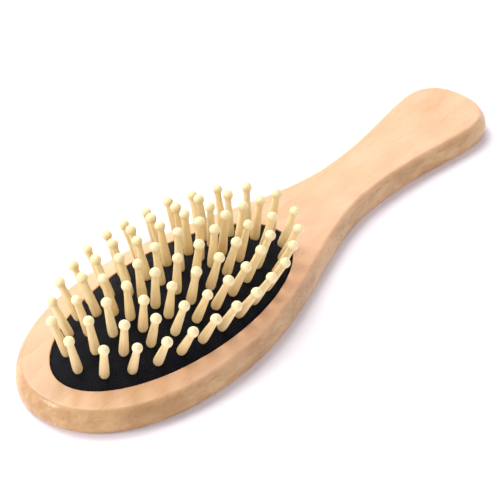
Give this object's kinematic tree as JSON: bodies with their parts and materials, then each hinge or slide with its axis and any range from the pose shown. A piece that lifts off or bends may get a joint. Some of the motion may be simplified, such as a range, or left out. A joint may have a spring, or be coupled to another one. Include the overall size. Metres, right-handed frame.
{
  "type": "hair brush",
  "caption": "Oval cushion hair brush: flat wooden head and handle, domed cloth-faced rubber cushion, sprung wooden ball-tipped pins.",
  "frame": {"origin": "on the flat back of the board, under the middle of the whole length", "axes": "+X from the head's tip to the handle's end, +Z the way the pins stand, Y across the head"},
  "size_m": [0.22, 0.0676, 0.0331],
  "materials": {
    "beech": "satin clear varnish",
    "pin_wood": "smooth, lightly waxed",
    "rubber": "matt",
    "woven_cloth": "matt plain weave"
  },
  "bodies": {
    "body": {"wooden_body": "beech"},
    "cushion": {"rubber_cushion": "rubber", "cloth_facing": "woven_cloth"},
    "oval_1_pins_01_02": {"oval_1_pins_01_02": "pin_wood"},
    "oval_1_pins_03_04": {"oval_1_pins_03_04": "pin_wood"},
    "oval_1_pins_05_06": {"oval_1_pins_05_06": "pin_wood"},
    "oval_1_pins_07_08": {"oval_1_pins_07_08": "pin_wood"},
    "oval_1_pins_09_10": {"oval_1_pins_09_10": "pin_wood"},
    "oval_1_pins_11_12": {"oval_1_pins_11_12": "pin_wood"},
    "oval_1_pins_13_14": {"oval_1_pins_13_14": "pin_wood"},
    "oval_1_pins_15_16": {"oval_1_pins_15_16": "pin_wood"},
    "oval_1_pins_17_18": {"oval_1_pins_17_18": "pin_wood"},
    "oval_1_pins_19_20": {"oval_1_pins_19_20": "pin_wood"},
    "oval_1_pins_21_22": {"oval_1_pins_21_22": "pin_wood"},
    "oval_1_pins_23_24": {"oval_1_pins_23_24": "pin_wood"},
    "oval_1_pins_25_26": {"oval_1_pins_25_26": "pin_wood"},
    "oval_2_pin_01": {"oval_2_pin_01": "pin_wood"},
    "oval_2_pin_02": {"oval_2_pin_02": "pin_wood"},
    "oval_2_pin_03": {"oval_2_pin_03": "pin_wood"},
    "oval_2_pin_04": {"oval_2_pin_04": "pin_wood"},
    "oval_2_pin_05": {"oval_2_pin_05": "pin_wood"},
    "oval_2_pin_06": {"oval_2_pin_06": "pin_wood"},
    "oval_2_pin_07": {"oval_2_pin_07": "pin_wood"},
    "oval_2_pin_08": {"oval_2_pin_08": "pin_wood"},
    "oval_2_pin_09": {"oval_2_pin_09": "pin_wood"},
    "oval_2_pin_10": {"oval_2_pin_10": "pin_wood"},
    "oval_2_pin_11": {"oval_2_pin_11": "pin_wood"},
    "oval_2_pin_12": {"oval_2_pin_12": "pin_wood"},
    "oval_2_pin_13": {"oval_2_pin_13": "pin_wood"},
    "oval_2_pin_14": {"oval_2_pin_14": "pin_wood"},
    "oval_2_pin_15": {"oval_2_pin_15": "pin_wood"},
    "oval_2_pin_16": {"oval_2_pin_16": "pin_wood"},
    "oval_2_pin_17": {"oval_2_pin_17": "pin_wood"},
    "oval_2_pin_18": {"oval_2_pin_18": "pin_wood"},
    "oval_2_pin_19": {"oval_2_pin_19": "pin_wood"},
    "oval_2_pin_20": {"oval_2_pin_20": "pin_wood"},
    "oval_3_pin_01": {"oval_3_pin_01": "pin_wood"},
    "oval_3_pin_02": {"oval_3_pin_02": "pin_wood"},
    "oval_3_pin_03": {"oval_3_pin_03": "pin_wood"},
    "oval_3_pin_04": {"oval_3_pin_04": "pin_wood"},
    "oval_3_pin_05": {"oval_3_pin_05": "pin_wood"},
    "oval_3_pin_06": {"oval_3_pin_06": "pin_wood"},
    "oval_3_pin_07": {"oval_3_pin_07": "pin_wood"},
    "oval_3_pin_08": {"oval_3_pin_08": "pin_wood"},
    "oval_3_pin_09": {"oval_3_pin_09": "pin_wood"},
    "oval_3_pin_10": {"oval_3_pin_10": "pin_wood"},
    "oval_3_pin_11": {"oval_3_pin_11": "pin_wood"},
    "oval_3_pin_12": {"oval_3_pin_12": "pin_wood"},
    "oval_3_pin_13": {"oval_3_pin_13": "pin_wood"},
    "oval_3_pin_14": {"oval_3_pin_14": "pin_wood"},
    "oval_4_pin_01": {"oval_4_pin_01": "pin_wood"},
    "oval_4_pin_02": {"oval_4_pin_02": "pin_wood"},
    "oval_4_pin_03": {"oval_4_pin_03": "pin_wood"},
    "oval_4_pin_04": {"oval_4_pin_04": "pin_wood"},
    "oval_4_pin_05": {"oval_4_pin_05": "pin_wood"},
    "oval_4_pin_06": {"oval_4_pin_06": "pin_wood"},
    "oval_4_pin_07": {"oval_4_pin_07": "pin_wood"},
    "oval_4_pin_08": {"oval_4_pin_08": "pin_wood"},
    "oval_4_pin_09": {"oval_4_pin_09": "pin_wood"},
    "oval_4_pin_10": {"oval_4_pin_10": "pin_wood"}
  },
  "joints": [
    {"name": "cushion_press", "type": "slide", "parent": "body", "child": "cushion", "axis": [0, 0, -1], "range_m": [0, 0.0025], "stiffness_N_per_m": 2500, "deforming": ["rubber_cushion", "cloth_facing"]},
    {"name": "oval_1_pins_01_02_lean", "type": "hinge", "parent": "cushion", "child": "oval_1_pins_01_02", "pos_m": [-0.00089, 0.00371, 0.00968], "axis": [0.3734, -0.9277, 0], "range_deg": [-12, 12], "stiffness_Nm_per_rad": 0.02},
    {"name": "oval_1_pins_03_04_lean", "type": "hinge", "parent": "cushion", "child": "oval_1_pins_03_04", "pos_m": [-0.01236, 0.01437, 0.01023], "axis": [0.902, -0.4318, 0], "range_deg": [-12, 12], "stiffness_Nm_per_rad": 0.02},
    {"name": "oval_1_pins_05_06_lean", "type": "hinge", "parent": "cushion", "child": "oval_1_pins_05_06", "pos_m": [-0.02806, 0.01935, 0.01079], "axis": [0.9823, -0.1873, 0], "range_deg": [-12, 12], "stiffness_Nm_per_rad": 0.02},
    {"name": "oval_1_pins_07_08_lean", "type": "hinge", "parent": "cushion", "child": "oval_1_pins_07_08", "pos_m": [-0.04478, 0.021, 0.01112], "axis": [0.9999, -0.0138, 0], "range_deg": [-12, 12], "stiffness_Nm_per_rad": 0.02},
    {"name": "oval_1_pins_09_10_lean", "type": "hinge", "parent": "cushion", "child": "oval_1_pins_09_10", "pos_m": [-0.06186, 0.01978, 0.01118], "axis": [0.9873, 0.1589, 0], "range_deg": [-12, 12], "stiffness_Nm_per_rad": 0.02},
    {"name": "oval_1_pins_11_12_lean", "type": "hinge", "parent": "cushion", "child": "oval_1_pins_11_12", "pos_m": [-0.07857, 0.01503, 0.01096], "axis": [0.9161, 0.401, 0], "range_deg": [-12, 12], "stiffness_Nm_per_rad": 0.02},
    {"name": "oval_1_pins_13_14_lean", "type": "hinge", "parent": "cushion", "child": "oval_1_pins_13_14", "pos_m": [-0.09128, 0.00397, 0.01062], "axis": [0.3972, 0.9177, 0], "range_deg": [-12, 12], "stiffness_Nm_per_rad": 0.02},
    {"name": "oval_1_pins_15_16_lean", "type": "hinge", "parent": "cushion", "child": "oval_1_pins_15_16", "pos_m": [-0.08608, -0.0106, 0.01078], "axis": [0.7944, -0.6074, 0], "range_deg": [-12, 12], "stiffness_Nm_per_rad": 0.02},
    {"name": "oval_1_pins_17_18_lean", "type": "hinge", "parent": "cushion", "child": "oval_1_pins_17_18", "pos_m": [-0.07034, -0.01794, 0.0111], "axis": [0.9646, -0.2638, 0], "range_deg": [-12, 12], "stiffness_Nm_per_rad": 0.02},
    {"name": "oval_1_pins_19_20_lean", "type": "hinge", "parent": "cushion", "child": "oval_1_pins_19_20", "pos_m": [-0.0533, -0.02076, 0.01118], "axis": [0.9976, -0.0694, 0], "range_deg": [-12, 12], "stiffness_Nm_per_rad": 0.02},
    {"name": "oval_1_pins_21_22_lean", "type": "hinge", "parent": "cushion", "child": "oval_1_pins_21_22", "pos_m": [-0.03634, -0.02054, 0.01099], "axis": [0.9953, 0.0972, 0], "range_deg": [-12, 12], "stiffness_Nm_per_rad": 0.02},
    {"name": "oval_1_pins_23_24_lean", "type": "hinge", "parent": "cushion", "child": "oval_1_pins_23_24", "pos_m": [-0.02001, -0.01735, 0.01053], "axis": [0.956, 0.2933, 0], "range_deg": [-12, 12], "stiffness_Nm_per_rad": 0.02},
    {"name": "oval_1_pins_25_26_lean", "type": "hinge", "parent": "cushion", "child": "oval_1_pins_25_26", "pos_m": [-0.00552, -0.01001, 0.00992], "axis": [0.7708, 0.637, 0], "range_deg": [-12, 12], "stiffness_Nm_per_rad": 0.02},
    {"name": "oval_2_pin_01_lean", "type": "hinge", "parent": "cushion", "child": "oval_2_pin_01", "pos_m": [-0.0076, 0, 0.01209], "axis": [1, 0, 0], "range_deg": [-12, 12], "stiffness_Nm_per_rad": 0.02},
    {"name": "oval_2_pin_02_lean", "type": "hinge", "parent": "cushion", "child": "oval_2_pin_02", "pos_m": [-0.01191, 0.00698, 0.0125], "axis": [1, 0, 0], "range_deg": [-12, 12], "stiffness_Nm_per_rad": 0.02},
    {"name": "oval_2_pin_03_lean", "type": "hinge", "parent": "cushion", "child": "oval_2_pin_03", "pos_m": [-0.01943, 0.01095, 0.01312], "axis": [1, 0, 0], "range_deg": [-12, 12], "stiffness_Nm_per_rad": 0.02},
    {"name": "oval_2_pin_04_lean", "type": "hinge", "parent": "cushion", "child": "oval_2_pin_04", "pos_m": [-0.02769, 0.01334, 0.01365], "axis": [1, 0, 0], "range_deg": [-12, 12], "stiffness_Nm_per_rad": 0.02},
    {"name": "oval_2_pin_05_lean", "type": "hinge", "parent": "cushion", "child": "oval_2_pin_05", "pos_m": [-0.03627, 0.01469, 0.01403], "axis": [1, 0, 0], "range_deg": [-12, 12], "stiffness_Nm_per_rad": 0.02},
    {"name": "oval_2_pin_06_lean", "type": "hinge", "parent": "cushion", "child": "oval_2_pin_06", "pos_m": [-0.04505, 0.01519, 0.01423], "axis": [1, 0, 0], "range_deg": [-12, 12], "stiffness_Nm_per_rad": 0.02},
    {"name": "oval_2_pin_07_lean", "type": "hinge", "parent": "cushion", "child": "oval_2_pin_07", "pos_m": [-0.05395, 0.01489, 0.01425], "axis": [1, 0, 0], "range_deg": [-12, 12], "stiffness_Nm_per_rad": 0.02},
    {"name": "oval_2_pin_08_lean", "type": "hinge", "parent": "cushion", "child": "oval_2_pin_08", "pos_m": [-0.06289, 0.01371, 0.01409], "axis": [1, 0, 0], "range_deg": [-12, 12], "stiffness_Nm_per_rad": 0.02},
    {"name": "oval_2_pin_09_lean", "type": "hinge", "parent": "cushion", "child": "oval_2_pin_09", "pos_m": [-0.0717, 0.01141, 0.01374], "axis": [1, 0, 0], "range_deg": [-12, 12], "stiffness_Nm_per_rad": 0.02},
    {"name": "oval_2_pin_10_lean", "type": "hinge", "parent": "cushion", "child": "oval_2_pin_10", "pos_m": [-0.07992, 0.0074, 0.01325], "axis": [1, 0, 0], "range_deg": [-12, 12], "stiffness_Nm_per_rad": 0.02},
    {"name": "oval_2_pin_11_lean", "type": "hinge", "parent": "cushion", "child": "oval_2_pin_11", "pos_m": [-0.0848, 0, 0.01288], "axis": [1, 0, 0], "range_deg": [-12, 12], "stiffness_Nm_per_rad": 0.02},
    {"name": "oval_2_pin_12_lean", "type": "hinge", "parent": "cushion", "child": "oval_2_pin_12", "pos_m": [-0.07992, -0.0074, 0.01325], "axis": [1, 0, 0], "range_deg": [-12, 12], "stiffness_Nm_per_rad": 0.02},
    {"name": "oval_2_pin_13_lean", "type": "hinge", "parent": "cushion", "child": "oval_2_pin_13", "pos_m": [-0.0717, -0.01141, 0.01374], "axis": [1, 0, 0], "range_deg": [-12, 12], "stiffness_Nm_per_rad": 0.02},
    {"name": "oval_2_pin_14_lean", "type": "hinge", "parent": "cushion", "child": "oval_2_pin_14", "pos_m": [-0.06289, -0.01371, 0.01409], "axis": [1, 0, 0], "range_deg": [-12, 12], "stiffness_Nm_per_rad": 0.02},
    {"name": "oval_2_pin_15_lean", "type": "hinge", "parent": "cushion", "child": "oval_2_pin_15", "pos_m": [-0.05395, -0.01489, 0.01425], "axis": [1, 0, 0], "range_deg": [-12, 12], "stiffness_Nm_per_rad": 0.02},
    {"name": "oval_2_pin_16_lean", "type": "hinge", "parent": "cushion", "child": "oval_2_pin_16", "pos_m": [-0.04505, -0.01519, 0.01423], "axis": [1, 0, 0], "range_deg": [-12, 12], "stiffness_Nm_per_rad": 0.02},
    {"name": "oval_2_pin_17_lean", "type": "hinge", "parent": "cushion", "child": "oval_2_pin_17", "pos_m": [-0.03627, -0.01469, 0.01403], "axis": [1, 0, 0], "range_deg": [-12, 12], "stiffness_Nm_per_rad": 0.02},
    {"name": "oval_2_pin_18_lean", "type": "hinge", "parent": "cushion", "child": "oval_2_pin_18", "pos_m": [-0.02769, -0.01334, 0.01365], "axis": [1, 0, 0], "range_deg": [-12, 12], "stiffness_Nm_per_rad": 0.02},
    {"name": "oval_2_pin_19_lean", "type": "hinge", "parent": "cushion", "child": "oval_2_pin_19", "pos_m": [-0.01943, -0.01095, 0.01312], "axis": [1, 0, 0], "range_deg": [-12, 12], "stiffness_Nm_per_rad": 0.02},
    {"name": "oval_2_pin_20_lean", "type": "hinge", "parent": "cushion", "child": "oval_2_pin_20", "pos_m": [-0.01191, -0.00698, 0.0125], "axis": [1, 0, 0], "range_deg": [-12, 12], "stiffness_Nm_per_rad": 0.02},
    {"name": "oval_3_pin_01_lean", "type": "hinge", "parent": "cushion", "child": "oval_3_pin_01", "pos_m": [-0.0158, 0, 0.01411], "axis": [1, 0, 0], "range_deg": [-12, 12], "stiffness_Nm_per_rad": 0.02},
    {"name": "oval_3_pin_02_lean", "type": "hinge", "parent": "cushion", "child": "oval_3_pin_02", "pos_m": [-0.02233, 0.00576, 0.01491], "axis": [1, 0, 0], "range_deg": [-12, 12], "stiffness_Nm_per_rad": 0.02},
    {"name": "oval_3_pin_03_lean", "type": "hinge", "parent": "cushion", "child": "oval_3_pin_03", "pos_m": [-0.03126, 0.0081, 0.01572], "axis": [1, 0, 0], "range_deg": [-12, 12], "stiffness_Nm_per_rad": 0.02},
    {"name": "oval_3_pin_04_lean", "type": "hinge", "parent": "cushion", "child": "oval_3_pin_04", "pos_m": [-0.04058, 0.00914, 0.01622], "axis": [1, 0, 0], "range_deg": [-12, 12], "stiffness_Nm_per_rad": 0.02},
    {"name": "oval_3_pin_05_lean", "type": "hinge", "parent": "cushion", "child": "oval_3_pin_05", "pos_m": [-0.05013, 0.00922, 0.01635], "axis": [1, 0, 0], "range_deg": [-12, 12], "stiffness_Nm_per_rad": 0.02},
    {"name": "oval_3_pin_06_lean", "type": "hinge", "parent": "cushion", "child": "oval_3_pin_06", "pos_m": [-0.0598, 0.00832, 0.0161], "axis": [1, 0, 0], "range_deg": [-12, 12], "stiffness_Nm_per_rad": 0.02},
    {"name": "oval_3_pin_07_lean", "type": "hinge", "parent": "cushion", "child": "oval_3_pin_07", "pos_m": [-0.06936, 0.00602, 0.01547], "axis": [1, 0, 0], "range_deg": [-12, 12], "stiffness_Nm_per_rad": 0.02},
    {"name": "oval_3_pin_08_lean", "type": "hinge", "parent": "cushion", "child": "oval_3_pin_08", "pos_m": [-0.0766, 0, 0.01474], "axis": [1, 0, 0], "range_deg": [-12, 12], "stiffness_Nm_per_rad": 0.02},
    {"name": "oval_3_pin_09_lean", "type": "hinge", "parent": "cushion", "child": "oval_3_pin_09", "pos_m": [-0.06936, -0.00602, 0.01547], "axis": [1, 0, 0], "range_deg": [-12, 12], "stiffness_Nm_per_rad": 0.02},
    {"name": "oval_3_pin_10_lean", "type": "hinge", "parent": "cushion", "child": "oval_3_pin_10", "pos_m": [-0.0598, -0.00832, 0.0161], "axis": [1, 0, 0], "range_deg": [-12, 12], "stiffness_Nm_per_rad": 0.02},
    {"name": "oval_3_pin_11_lean", "type": "hinge", "parent": "cushion", "child": "oval_3_pin_11", "pos_m": [-0.05013, -0.00922, 0.01635], "axis": [1, 0, 0], "range_deg": [-12, 12], "stiffness_Nm_per_rad": 0.02},
    {"name": "oval_3_pin_12_lean", "type": "hinge", "parent": "cushion", "child": "oval_3_pin_12", "pos_m": [-0.04058, -0.00914, 0.01622], "axis": [1, 0, 0], "range_deg": [-12, 12], "stiffness_Nm_per_rad": 0.02},
    {"name": "oval_3_pin_13_lean", "type": "hinge", "parent": "cushion", "child": "oval_3_pin_13", "pos_m": [-0.03126, -0.0081, 0.01572], "axis": [1, 0, 0], "range_deg": [-12, 12], "stiffness_Nm_per_rad": 0.02},
    {"name": "oval_3_pin_14_lean", "type": "hinge", "parent": "cushion", "child": "oval_3_pin_14", "pos_m": [-0.02233, -0.00576, 0.01491], "axis": [1, 0, 0], "range_deg": [-12, 12], "stiffness_Nm_per_rad": 0.02},
    {"name": "oval_4_pin_01_lean", "type": "hinge", "parent": "cushion", "child": "oval_4_pin_01", "pos_m": [-0.024, 0, 0.01567], "axis": [1, 0, 0], "range_deg": [-12, 12], "stiffness_Nm_per_rad": 0.02},
    {"name": "oval_4_pin_02_lean", "type": "hinge", "parent": "cushion", "child": "oval_4_pin_02", "pos_m": [-0.03212, 0.00263, 0.01667], "axis": [1, 0, 0], "range_deg": [-12, 12], "stiffness_Nm_per_rad": 0.02},
    {"name": "oval_4_pin_03_lean", "type": "hinge", "parent": "cushion", "child": "oval_4_pin_03", "pos_m": [-0.04105, 0.00331, 0.01729], "axis": [1, 0, 0], "range_deg": [-12, 12], "stiffness_Nm_per_rad": 0.02},
    {"name": "oval_4_pin_04_lean", "type": "hinge", "parent": "cushion", "child": "oval_4_pin_04", "pos_m": [-0.05022, 0.00334, 0.01742], "axis": [1, 0, 0], "range_deg": [-12, 12], "stiffness_Nm_per_rad": 0.02},
    {"name": "oval_4_pin_05_lean", "type": "hinge", "parent": "cushion", "child": "oval_4_pin_05", "pos_m": [-0.05958, 0.00271, 0.01701], "axis": [1, 0, 0], "range_deg": [-12, 12], "stiffness_Nm_per_rad": 0.02},
    {"name": "oval_4_pin_06_lean", "type": "hinge", "parent": "cushion", "child": "oval_4_pin_06", "pos_m": [-0.0684, 0, 0.01613], "axis": [1, 0, 0], "range_deg": [-12, 12], "stiffness_Nm_per_rad": 0.02},
    {"name": "oval_4_pin_07_lean", "type": "hinge", "parent": "cushion", "child": "oval_4_pin_07", "pos_m": [-0.05958, -0.00271, 0.01701], "axis": [1, 0, 0], "range_deg": [-12, 12], "stiffness_Nm_per_rad": 0.02},
    {"name": "oval_4_pin_08_lean", "type": "hinge", "parent": "cushion", "child": "oval_4_pin_08", "pos_m": [-0.05022, -0.00334, 0.01742], "axis": [1, 0, 0], "range_deg": [-12, 12], "stiffness_Nm_per_rad": 0.02},
    {"name": "oval_4_pin_09_lean", "type": "hinge", "parent": "cushion", "child": "oval_4_pin_09", "pos_m": [-0.04105, -0.00331, 0.01729], "axis": [1, 0, 0], "range_deg": [-12, 12], "stiffness_Nm_per_rad": 0.02},
    {"name": "oval_4_pin_10_lean", "type": "hinge", "parent": "cushion", "child": "oval_4_pin_10", "pos_m": [-0.03212, -0.00263, 0.01667], "axis": [1, 0, 0], "range_deg": [-12, 12], "stiffness_Nm_per_rad": 0.02}
  ]
}
